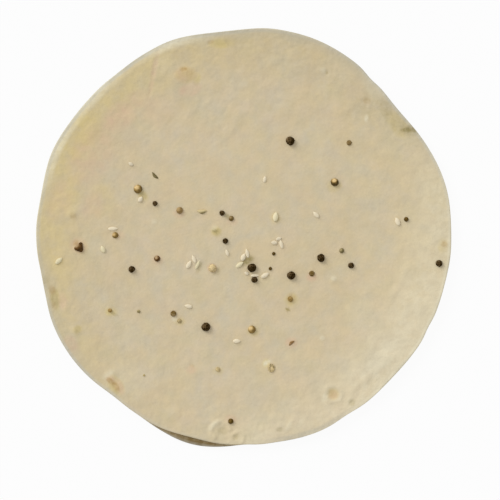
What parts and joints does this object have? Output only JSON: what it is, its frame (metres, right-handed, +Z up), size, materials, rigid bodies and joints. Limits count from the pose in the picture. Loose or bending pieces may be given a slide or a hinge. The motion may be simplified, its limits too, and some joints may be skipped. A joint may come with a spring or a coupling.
{
  "type": "papadum",
  "caption": "Thin round raw papadum, slightly dished, with an uneven rim and whole spices set in its top.",
  "frame": {"origin": "on the table under the middle of the sheet, at the flat of its underside", "axes": "+Z up, through the sheet's thin direction; +X to the right and +Y up the page as seen from above, with the turned-down lip at the upper left and the split edge at the bottom"},
  "size_m": [0.1798, 0.1816, 0.0056],
  "materials": {
    "dough": "matt dried lentil dough, pale beige, faintly mottled",
    "peppercorn": "matt black, wrinkled dry skin",
    "coriander": "tan to reddish brown dry seed coat, faint sheen",
    "sesame": "cream white hulled seed, soft sheen",
    "cumin": "olive brown ridged dry seed"
  },
  "bodies": {
    "root": {"papadum": "dough"}
  },
  "joints": []
}
